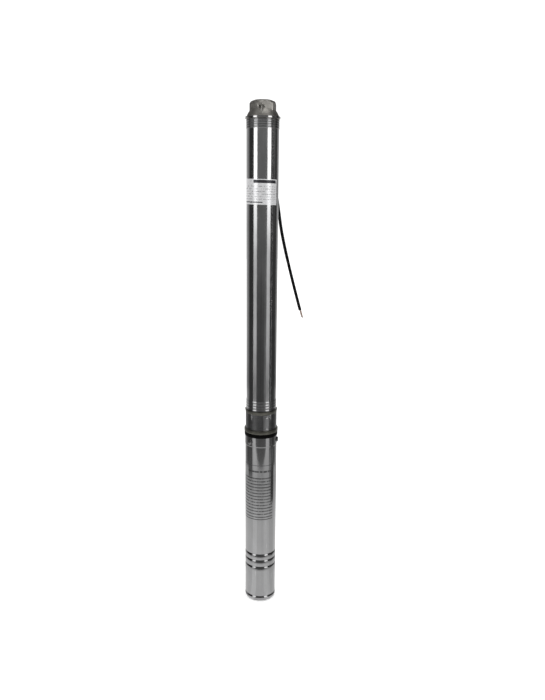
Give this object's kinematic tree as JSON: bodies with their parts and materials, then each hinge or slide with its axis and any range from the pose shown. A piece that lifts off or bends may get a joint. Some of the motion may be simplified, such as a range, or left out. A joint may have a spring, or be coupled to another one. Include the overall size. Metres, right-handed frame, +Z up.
{
  "type": "borehole submersible pump",
  "caption": "Tall slim submersible pump for a borehole: stainless multistage pump end, strainer and sealed motor, with a guarded power lead.",
  "frame": {"origin": "centre of the flat base, on the axis of the pump", "axes": "+Z up the axis towards the outlet, -Y towards the front, +Y towards the guarded lead"},
  "size_m": [0.1731, 0.2085, 1.4446],
  "materials": {
    "polished_stainless": "polished, rolled",
    "motor_stainless": "satin",
    "guard_stainless": "satin sheet",
    "cast_outlet": "cast, machined faces",
    "cast_bracket": "cast, satin",
    "dark_strainer": "perforated sheet",
    "screw_steel": "bright",
    "black_rubber": "matt",
    "lead_sheath": "smooth",
    "core_insulation": "smooth",
    "valve_plastic": "moulded",
    "bowl_plastic": "moulded",
    "impeller_plastic": "moulded",
    "shaft_steel": "ground",
    "laminated_steel": "laminated",
    "copper": "varnished wire",
    "end_ring_aluminium": "cast",
    "carbon": "ground",
    "motor_castings": "cast"
  },
  "bodies": {
    "pump": {"outlet_head": "cast_outlet", "valve_bridge": "screw_steel", "pump_casing": "polished_stainless", "top_bearing_housing": "cast_bracket", "top_bush": "black_rubber", "stage_bowls": "bowl_plastic", "suction_bracket": "cast_bracket", "strainer": "dark_strainer", "strainer_screws": "screw_steel", "junction_ring": "black_rubber", "flange_studs": "screw_steel", "flange_nuts": "screw_steel", "cable_guard": "guard_stainless", "guard_screws": "screw_steel", "lead_gland": "black_rubber", "guarded_lead": "lead_sheath", "free_lead": "lead_sheath", "lead_cores": "core_insulation", "motor_shell": "motor_stainless", "collar_screws": "screw_steel", "upper_bracket": "motor_castings", "shaft_seal": "carbon", "stator_core": "laminated_steel", "windings": "copper", "lower_bracket": "motor_castings", "motor_bushes": "carbon", "thrust_housing": "motor_castings", "thrust_pads": "carbon", "diaphragm": "black_rubber", "bottom_cap": "motor_castings", "filler_plug": "screw_steel"},
    "rotor": {"motor_shaft": "shaft_steel", "rotor_core": "laminated_steel", "rotor_end_rings": "end_ring_aluminium", "thrust_disc": "shaft_steel", "sand_slinger": "black_rubber", "coupling": "shaft_steel", "pump_shaft": "shaft_steel", "impellers": "impeller_plastic", "shaft_nut": "screw_steel"},
    "valve": {"valve_poppet": "valve_plastic"}
  },
  "joints": [
    {"name": "rotor_spin", "type": "hinge", "parent": "pump", "child": "rotor", "pos_m": [0, 0, 0.5], "axis": [0, 0, 1], "continuous": true},
    {"name": "valve_lift", "type": "slide", "parent": "pump", "child": "valve", "axis": [0, 0, 1], "range_m": [0, 0.009]}
  ]
}
